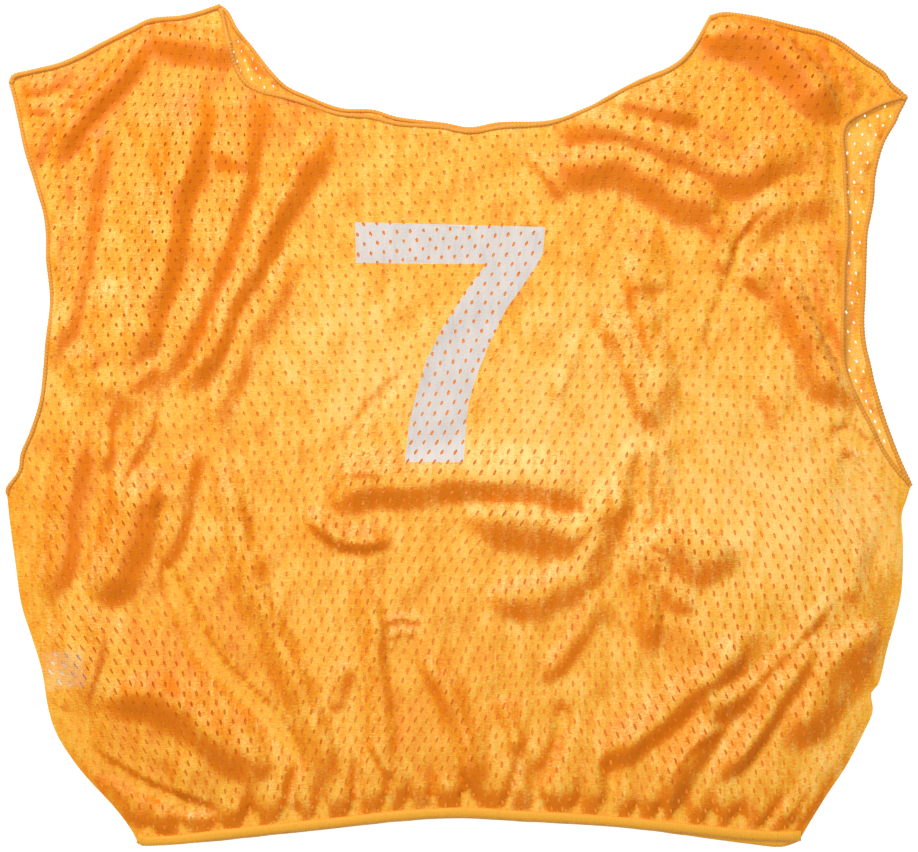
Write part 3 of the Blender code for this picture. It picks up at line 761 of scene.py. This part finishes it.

# Broad patches of painted light: a paler share above 0 is a painted highlight, and one below 0 is painted
# shade.
Patch = namedtuple("Patch", "x y reach paler")
PAINTED_LIGHT_PATCHES = [
    Patch(-206, 225, 120, -0.35), Patch(-264, 190, 60, -0.2), Patch(-112, 195, 70, -0.3),
    Patch(205, 235, 90, -0.4), Patch(-250, -55, 80, -0.25), Patch(-162, -140, 75, -0.35),
    Patch(-212, -210, 70, -0.35), Patch(-12, -180, 65, -0.3), Patch(-62, 40, 80, 0.4),
    Patch(63, 0, 140, 0.4), Patch(215, -50, 130, 0.45), Patch(240, -205, 50, 0.2),
]


def slopes(points, height, here):
    """The slope of a height function whose values here are known, as a pair for each point."""
    across = (height(points + (SLOPE_STEP, 0)) - here) / SLOPE_STEP
    along = (height(points + (0, SLOPE_STEP)) - here) / SLOPE_STEP
    return np.column_stack([across, along])


def patch_light(points):
    """The sum of the patches, each full at its middle and fading to 0 at its reach."""
    total = np.zeros(len(points))
    for patch in PAINTED_LIGHT_PATCHES:
        off = np.hypot(points[:, 0] - patch.x, points[:, 1] - patch.y)
        total += patch.paler * smoothstep(1 - off / patch.reach)
    return total


def painted_shade_and_highlight(points, slope):
    """Painted shade: a share of the slope that faces away from the key light and one of any slope. Painted
    highlight: a share of the slope that faces the key light. The way away from the light runs towards the
    hem and draws together there, as the cloth does. A patch of painted highlight takes from the shade and
    adds to the highlight, and one of painted shade does the reverse."""
    away_from_key = np.column_stack([AWAY_FROM_KEY_TURN - AWAY_FROM_KEY_FAN * points[:, 0], -np.ones(len(points))])
    away_from_key /= np.linalg.norm(away_from_key, axis=1, keepdims=True)
    down = np.clip(-(slope * away_from_key).sum(axis=1) / STEEPEST, -1, 1)
    steep = np.clip(np.hypot(*slope.T) / STEEPEST, 0, 1)
    paler = patch_light(points)
    dye_and_shade = SHADE_FACING_AWAY * np.maximum(down, 0) + SHADE_ON_STEEP * steep - paler
    return dye_and_shade, HIGHLIGHT_FACING_KEY * np.maximum(-down, 0) + paler


LABEL = np.array([(-259.4, -142.2), (-235.6, -140.3), (-233.1, -162.8), (-256.9, -165.3)])
LABEL_SOFT = 2.5
LABEL_SHOWS = 0.22
# The strength of a painted glow that the back gives off where the front covers it, in place of light through
# the front.
PAINTED_INSIDE_GLOW = 0.3


def over_label(points):
    """1 over the label, fading to 0 over LABEL_SOFT beyond its edges."""
    ring = np.vstack([LABEL, LABEL[:1]])
    off = nearest_on(points, ring)[0]
    return smoothstep((off + LABEL_SOFT) / (2 * LABEL_SOFT)) * (np.abs(off) < 20)


# %% Build the panels
BAKE_HALF = 0.49
BAKE_MARGIN = 0.005
SHARPEST = np.radians(50)


def bake_places(plan):
    """Places on the export's baked picture: the top in its left half, the underside in its right
    half, each scaled to fit."""
    low, high = plan.min(axis=0), plan.max(axis=0)
    share = (plan - low) / (high - low).max() * BAKE_HALF + BAKE_MARGIN
    return np.vstack([share + (0.5, 0), share])


def panel(name, cut_cloth, height, thick, covered):
    """One panel as a shell on its height function, with the numbers that its finish reads."""
    plan, triangles, printed, _ = cut_cloth
    under = height(plan)
    made = shell(name, plan, triangles, under, thick)
    # Painted shade and painted highlight, worked out from the slopes.
    dye_and_shade, glow = painted_shade_and_highlight(plan, slopes(plan, height, under))
    set_values(made, "dye_and_shade", np.tile(dye_and_shade, 2))
    set_values(made, "glow", np.tile(glow, 2))
    set_values(made, "label_through", np.tile(over_label(plan) * LABEL_SHOWS, 2))
    set_values(made, "painted_glow_under_front", np.append(np.zeros(len(plan)), covered * PAINTED_INSIDE_GLOW))
    set_map(made, "cloth", np.tile(plan, (2, 1)) * MM)
    set_map(made, "OFBake", bake_places(plan))
    made.data.set_sharp_from_angle(angle=SHARPEST)
    print(name, "triangles", sum(len(face.vertices) - 2 for face in made.data.polygons))
    return made


front_cloth = panel("front_cloth", front_cut, front_height, FRONT_CLOTH, np.zeros(len(front_cut[0])))
back_cloth = panel("back_cloth", back_cut, back_height, BACK_CLOTH, inside(back_cut[0], front_loop))
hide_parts("front_panel")
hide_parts("back_panel")

# %% [markdown]
# ## Overlocked edges
#
# An overlock machine wraps the raw edge in thread: loops go over the edge at every stitch, about
# 2 mm apart. A tube with one ridge for each stitch gives that look. Its section is a flat oval, carried
# along the edge, and the ridges lean, because the thread runs on while it crosses the edge.

# %% A ridged tube along an edge
Edge = namedtuple("Edge", "piece node turns height wide thick pitch ridge lean")
ROUND = 10
TUBE_STEP = 0.44


def ridged_tube(edge):
    """An oval carried along the edge, swelled by a wave once each stitch: points and faces."""
    outer = smooth_curve(edge.turns, TUBE_STEP)
    middle = moved_right(outer, edge.wide / 2)
    ahead = np.gradient(middle, axis=0)
    ahead /= np.linalg.norm(ahead, axis=1, keepdims=True)
    sideways = np.column_stack([ahead[:, 1], -ahead[:, 0]])
    run = np.append(0, np.cumsum(np.linalg.norm(np.diff(middle, axis=0), axis=1)))
    angle = np.arange(ROUND) * FULL_TURN / ROUND
    swell = 1 + edge.ridge * np.cos(FULL_TURN * run[:, None] / edge.pitch + edge.lean * np.sin(angle))
    swell += edge.ridge / 2 * np.sin(run[:, None] / 5.3 + 2 * np.sin(run[:, None] / 13.7))
    across = np.cos(angle) * swell * edge.wide / 2
    up = (1 + np.sin(angle) * swell) * edge.thick / 2
    base = edge.height(middle)[:, None]
    flat = middle[:, None] + across[..., None] * sideways[:, None]
    points = np.concatenate([flat, np.maximum(base + up, 0)[..., None]], axis=2).reshape(-1, 3)
    ring = np.arange(ROUND)
    step = np.arange(len(middle) - 1)[:, None] * ROUND
    here, beside = step + ring, step + (ring + 1) % ROUND
    quads = np.stack([here, here + ROUND, beside + ROUND, beside], axis=2).reshape(-1, 4)
    ends = np.vstack([ring, (len(points) - ROUND + ring)[::-1]])
    return points, [quads, ends]


# %% The neck, the armholes and the shoulders
SEAM_REST = 0.1


def seam_height(points):
    """The shoulder seams lie all but on the table."""
    return np.full(len(points), SEAM_REST)


def sewn(edges):
    """A ridged tube for each row, by name, which stands for its CAD node."""
    pieces = {}
    for edge in edges:
        made = new_piece(edge.piece, *ridged_tube(edge))
        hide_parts(edge.node)
        pieces[edge.piece] = made
    return pieces


EDGES = [
    Edge("back_neck_overlock", "back_neck_edge", BACK_NECK, back_height, 2.6, 1.5, 2.2, 0.10, 1.4),
    Edge("front_neck_overlock", "front_neck_edge", FRONT_NECK, front_height, 2.8, 1.7, 2.2, 0.12, 1.4),
    Edge("back_left_armhole_overlock", "back_left_armhole_edge", LEFT_ARMHOLE, back_height,
         2.4, 1.4, 2.2, 0.10, 1.4),
    Edge("front_left_armhole_overlock", "front_left_armhole_edge", LEFT_ARMHOLE, front_height,
         2.6, 1.6, 2.2, 0.12, 1.4),
    Edge("back_right_armhole_overlock", "back_right_armhole_edge", BACK_RIGHT_ARMHOLE, back_height,
         3.0, 1.6, 2.2, 0.12, 1.4),
    Edge("front_right_armhole_overlock", "front_right_armhole_edge", FRONT_RIGHT_ARMHOLE, front_height,
         2.6, 1.6, 2.2, 0.12, 1.4),
    Edge("left_shoulder_overlock", "left_shoulder_seam", LEFT_SHOULDER, seam_height,
         3.4, 2.8, 2.0, 0.10, 1.6),
    Edge("right_shoulder_overlock", "right_shoulder_seam", RIGHT_SHOULDER, seam_height,
         3.4, 2.8, 2.0, 0.10, 1.6),
]

edge_pieces = sewn(EDGES)
print("edge pieces:", len(edge_pieces))

# %% [markdown]
# ## The elastic hem
#
# The hem is a narrow elastic, stretched while it was overlocked to the cloth. When it lets go, it
# draws the cloth into gathers and its own threads close up into fine ribs. So it is the same ridged
# tube, wider and flatter, with ribs close together, and it rides up and down with the gathers.

# %% The hem bands
HEM_EDGES = [
    Edge("back_hem_elastic", "back_hem_band", BACK_HEM, back_height, 6.0, 1.6, 1.7, 0.06, 0.8),
    Edge("front_hem_elastic", "front_hem_band", FRONT_HEM, front_height, 6.2, 2.0, 1.7, 0.07, 0.8),
]
hem_pieces = sewn(HEM_EDGES)
print("hem pieces:", list(hem_pieces))

# %% [markdown]
# ## The care label
#
# A small satin label is sewn into the left side seam, between the panels. It is blank here. It shows
# only as a paler patch through the knit. A grid over its four corners, bent a little as a soft label
# curls, is all that it needs.

# %% The label
LABEL_CELLS = 24
LABEL_REST = 1.4
LABEL_THICK = 0.25
LABEL_CLEAR = 0.1
LABEL_CURL = 0.35


def label_plan():
    """Points over the label's four corners, each a mix of the corners by its two shares."""
    share = np.linspace(0, 1, LABEL_CELLS + 1)
    s, t = (grid.ravel()[:, None] for grid in np.meshgrid(share, share))
    upper = LABEL[0] * (1 - s) + LABEL[1] * s
    lower = LABEL[3] * (1 - s) + LABEL[2] * s
    points = upper * t + lower * (1 - t)
    row = np.arange(LABEL_CELLS)
    i, j = (grid.ravel() for grid in np.meshgrid(row, row))
    corner = j * (LABEL_CELLS + 1) + i
    wide = LABEL_CELLS + 1
    first = np.column_stack([corner, corner + 1, corner + wide + 1])
    second = np.column_stack([corner, corner + wide + 1, corner + wide])
    rest = LABEL_REST + LABEL_CURL * np.sin(s[:, 0] * np.pi) * np.sin(t[:, 0] * 2.2)
    room = front_height(points) - LABEL_THICK - LABEL_CLEAR
    return points, np.vstack([first, second]), np.minimum(rest, room)


label_points, label_triangles, label_rest = label_plan()
care_label = shell("care_label_satin", label_points, label_triangles, label_rest, LABEL_THICK)
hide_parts("care_label")
print("label size in mm:", np.ptp(LABEL, axis=0))

# %% [markdown]
# ## Finishes
#
# Colours are picked as the hex values that a screen shows. Blender works in linear light, so one
# function converts them. A second small function adds a node with its settings and its links, which
# keeps each material short enough to read.

# %% Helpers for materials
def linear(hex_text):
    """An sRGB hex colour as linear red, green, blue and a full alpha."""
    parts = np.array([int(hex_text[i : i + 2], 16) for i in (1, 3, 5)]) / 255
    return (*np.where(parts <= 0.04045, parts / 12.92, ((parts + 0.055) / 1.055) ** 2.4), 1.0)


def connect(tree, node, inputs):
    """Links each input that is given a socket, and sets any other on the input itself."""
    for name, value in inputs.items():
        if isinstance(value, bpy.types.NodeSocket):
            tree.links.new(value, node.inputs[name])
        else:
            node.inputs[name].default_value = value


def add_node(tree, kind, inputs, **settings):
    """Adds one node with its settings and its links."""
    made = tree.nodes.new("ShaderNode" + kind)
    for name, value in settings.items():
        setattr(made, name, value)
    connect(tree, made, inputs)
    return made


def new_material(name):
    """A material, its tree and the Principled shader that a new tree already has."""
    made = bpy.data.materials.new(name)
    made.use_nodes = True
    return made, made.node_tree, made.node_tree.nodes["Principled BSDF"]


# This pale yellow is the painted highlight's colour.
print("a pale knit yellow in linear light:", np.round(linear("#FDCE7A"), 3))

# %% [markdown]
# ### Warp-knitted polyester mesh
#
# The yarn is bright polyester, knitted with long floats that lie side by side. Its satin sheen is painted: a
# pale yellow as painted highlight on slopes that face the key light, and a deep orange as painted shade on
# slopes that face away from it and on steep ones, both also over broad patches. Four patterns keep it
# uneven. The cloth crinkles lengthwise between the columns of holes, its floats are about half a millimetre
# apart and are drawn as 0.8 mm streaks so that they show, its loops lie about 1.3 mm apart, and the dye
# takes a little better in some places than in others.

# %% The knit's patterns
Pattern = namedtuple("Pattern", "wide long detail low high deepest palest")
CRINKLES = Pattern(0.0050, 0.0190, 2.0, 0.35, 0.65, 0.24, -0.22)
FLOATS = Pattern(0.0034, 0.0008, 2.0, 0.3, 0.7, 0.25, -0.25)
LOOPS = Pattern(0.0013, 0.0013, 1.0, 0.3, 0.7, 0.22, -0.22)
DYE_LOTS = Pattern(0.0300, 0.0450, 3.0, 0.35, 0.65, 0.14, -0.10)


def streaks(tree, place, pattern):
    """Noise stretched to streaks that are wide across and long down the cloth, in metres."""
    scale = (1 / pattern.wide, 1 / pattern.long, 1)
    scaled = add_node(tree, "Mapping", {"Vector": place, "Scale": scale}).outputs["Vector"]
    noise = add_node(tree, "TexNoise", {"Vector": scaled, "Scale": 1.0, "Detail": pattern.detail})
    return noise.outputs["Fac"]


def knit_bumps(tree, place):
    """Crinkles down the cloth and, on them, fine floats across it: both heights and a normal."""
    crinkles = streaks(tree, place, CRINKLES)
    floats = streaks(tree, place, FLOATS)
    coarse = add_node(tree, "Bump", {"Height": crinkles, "Strength": 0.8, "Distance": 0.0011})
    fine = add_node(tree, "Bump", {"Height": floats, "Strength": 0.8, "Distance": 0.0003,
                                   "Normal": coarse.outputs["Normal"]})
    return crinkles, floats, fine.outputs["Normal"]


print("bumps in millimetres: crinkles 1.1, floats 0.3")

# %% The knit
def knit_material():
    """Satin knit: three yellows mixed by the painted shade and painted highlight kept on the vertices, each
    with the sum of the four patterns, then the label's white, and a painted glow on the back where the front
    covers it."""
    made, tree, shader = new_material("mesh_cloth_knit")
    place = add_node(tree, "UVMap", {}, uv_map="cloth").outputs["UV"]
    crinkles, floats, normal = knit_bumps(tree, place)
    heights = {CRINKLES: crinkles, FLOATS: floats}
    texture = 0.0
    for pattern in (CRINKLES, FLOATS, LOOPS, DYE_LOTS):
        height = heights.get(pattern) or streaks(tree, place, pattern)
        levels = {"From Min": pattern.low, "From Max": pattern.high,
                  "To Min": pattern.deepest, "To Max": pattern.palest}
        ranged = add_node(tree, "MapRange", {"Value": height, **levels})
        texture = add_node(tree, "Math", {0: ranged.outputs[0], 1: texture}, operation="ADD").outputs[0]
    kept = {name: add_node(tree, "Attribute", {}, attribute_name=name).outputs["Fac"]
            for name in ("dye_and_shade", "glow", "label_through", "painted_glow_under_front")}
    deep = add_node(tree, "Math", {0: kept["dye_and_shade"], 1: texture}, operation="ADD", use_clamp=True)
    pale = add_node(tree, "Math", {0: kept["glow"], 1: texture}, operation="SUBTRACT", use_clamp=True)
    # The pale yellow below is painted highlight and the deep orange is painted shade, each moved by the
    # random patterns.
    colour = linear("#F6B12C")
    for share, towards in ((pale.outputs[0], "#FDCE7A"), (deep.outputs[0], "#EA7D05"),
                           (kept["label_through"], "#FFD2A8")):
        blend = {"Factor": share, "A": colour, "B": linear(towards)}
        colour = add_node(tree, "Mix", blend, data_type="RGBA").outputs["Result"]
    # The emission is a painted glow on the back, where the front covers it.
    connect(tree, shader, {"Base Color": colour, "Roughness": 0.44, "Specular IOR Level": 0.25,
                           "Normal": normal, "Emission Color": linear("#D07C1C"),
                           "Emission Strength": kept["painted_glow_under_front"]})
    made.cycles.emission_sampling = "NONE"
    return made


knit = knit_material()
print("knit nodes:", len(knit.node_tree.nodes))

# %% [markdown]
# ### Screen print on mesh
#
# The numeral is printed with a thin white ink that soaks into the knit, so the cloth's orange warms
# it a little and its crinkles still show. It isn't glossy, and the satin glow is gone.

# %% The print
def print_material():
    """Thin ink: two warm whites mixed by the crinkles, on the knit's own bumps."""
    made, tree, shader = new_material("numeral_print_ink")
    place = add_node(tree, "UVMap", {}, uv_map="cloth").outputs["UV"]
    crinkles, _, normal = knit_bumps(tree, place)
    ink = add_node(tree, "Mix", {"Factor": crinkles, "A": linear("#C6BDB6"), "B": linear("#DCD4CE")},
                   data_type="RGBA")
    connect(tree, shader, {"Base Color": ink.outputs["Result"], "Roughness": 0.7, "Normal": normal})
    return made


ink = print_material()
print("print nodes:", len(ink.node_tree.nodes))

# %% [markdown]
# ### Overlock thread, elastic and label
#
# Overlock thread is textured polyester, fluffier and more saturated than the knit. The hem's elastic
# is covered by the same thread. The label is woven satin ribbon, off-white. Object coordinates are
# enough here, because these pieces have no grain that must follow them.

# %% Thread, elastic and label
def thread_material(name, light, deep, grain):
    """Fluffy thread: noise with the given grain, in metres, mixes two dyes and raises the fluff."""
    made, tree, shader = new_material(name)
    place = add_node(tree, "TexCoord", {}).outputs["Object"]
    fluff = add_node(tree, "TexNoise", {"Vector": place, "Scale": 1 / grain, "Detail": 3.0}).outputs["Fac"]
    dye_and_shade = add_node(tree, "Mix", {"Factor": fluff, "A": linear(deep), "B": linear(light)}, data_type="RGBA")
    bump = add_node(tree, "Bump", {"Height": fluff, "Strength": 0.6, "Distance": 0.0003})
    connect(tree, shader, {"Base Color": dye_and_shade.outputs["Result"], "Roughness": 0.6,
                           "Normal": bump.outputs["Normal"], "Sheen Weight": 0.2, "Sheen Roughness": 0.5})
    return made


def label_material():
    """Woven satin ribbon: fine bands mix two off-whites and raise the weave."""
    made, tree, shader = new_material("care_label_ribbon")
    place = add_node(tree, "TexCoord", {}).outputs["Object"]
    weave = add_node(tree, "TexWave", {"Vector": place, "Scale": 420.0, "Distortion": 0.4}).outputs["Fac"]
    bump = add_node(tree, "Bump", {"Height": weave, "Strength": 0.3, "Distance": 0.0001})
    tone = add_node(tree, "Mix", {"Factor": weave, "A": linear("#E4DED6"), "B": linear("#F2EEE8")},
                    data_type="RGBA")
    connect(tree, shader, {"Base Color": tone.outputs["Result"], "Roughness": 0.4,
                           "Normal": bump.outputs["Normal"]})
    return made


# %% Dress every piece
edge_thread = thread_material("edge_thread_overlock", "#E8A01C", "#D6800F", 0.0012)
hem_thread = thread_material("hem_elastic_overlock", "#F8B518", "#E6930E", 0.0010)

front_cloth.data.materials.append(knit)
front_cloth.data.materials.append(ink)
back_cloth.data.materials.append(knit)
printed_top = np.zeros(len(front_cloth.data.polygons), np.int32)
front_triangles = len(front_cut[1])
printed_top[front_triangles : 2 * front_triangles] = front_cut[2]
front_cloth.data.polygons.foreach_set("material_index", printed_top)
for piece in edge_pieces.values():
    piece.data.materials.append(edge_thread)
for piece in hem_pieces.values():
    piece.data.materials.append(hem_thread)
care_label.data.materials.append(label_material())

# %% [markdown]
# ## The cut of each sheet
#
# Each cloth was cut wider than the laid bib, because the hem's elastic has drawn it in, and a little longer,
# because the folds take up some length.

# %% [markdown]
# ## Table, light and camera
#
# The photograph is a cut-out on white, taken from straight above. A large softbox at the upper left
# draws the folds, a pale surround fills their shadows, and a white table stays white. The camera is a
# long lens, so that the sides of the folds aren't seen.

# %% The table and the light
def floor_material():
    """Matt white with a glow of its own, so that the table stays white under soft light."""
    made, tree, shader = new_material("white_table")
    connect(tree, shader, {"Base Color": linear("#BCBCBC"), "Roughness": 0.9,
                           "Emission Color": (1, 1, 1, 1), "Emission Strength": 0.75})
    return made


def table_top(half, below):
    """A flat square that reaches half to each side, a little below the cloth."""
    corners = np.array([(-1, -1), (1, -1), (1, 1), (-1, 1)]) * half
    mesh = bpy.data.meshes.new("table_top")
    mesh.from_pydata(np.column_stack([corners, np.full(4, -below)]).tolist(), [], [(0, 1, 2, 3)])
    mesh.materials.append(floor_material())
    made = bpy.data.objects.new("table_top", mesh)
    bpy.context.scene.collection.objects.link(made)


table_top(30.0, 0.0004)


def softbox(name, place, side, power):
    """A square area light at a place, turned to the middle of the bib."""
    light = bpy.data.lights.new(name, "AREA")
    light.shape = "SQUARE"
    light.size = side
    light.energy = power
    made = bpy.data.objects.new(name, light)
    made.location = place
    made.rotation_mode = "QUATERNION"
    made.rotation_quaternion = Vector(place).to_track_quat("Z", "Y")
    bpy.context.scene.collection.objects.link(made)


softbox("key_softbox", (-0.55, 1.30, 1.15), 0.6, 23.0)
softbox("overhead_softbox", (-0.10, 0.15, 2.10), 0.8, 20.0)
world = bpy.data.worlds.new("studio")
world.use_nodes = True
world.node_tree.nodes["Background"].inputs["Color"].default_value = (1, 1, 1, 1)
world.node_tree.nodes["Background"].inputs["Strength"].default_value = 0.27
bpy.context.scene.world = world
bpy.context.scene.view_settings.view_transform = "Standard"

# %% The camera
PHOTO_WIDE = 0.57375
LENS, SENSOR = 100.0, 36.0
camera_data = bpy.data.cameras.new("camera")
camera_data.lens = LENS
camera_data.sensor_width = SENSOR
camera = bpy.data.objects.new("camera", camera_data)
camera.location = (-MIDDLE[0] * MM, -MIDDLE[1] * MM - 0.0003, PHOTO_WIDE * LENS / SENSOR + 0.004)
bpy.context.scene.collection.objects.link(camera)
bpy.context.scene.camera = camera
print("camera height in metres:", round(camera.location.z, 3))
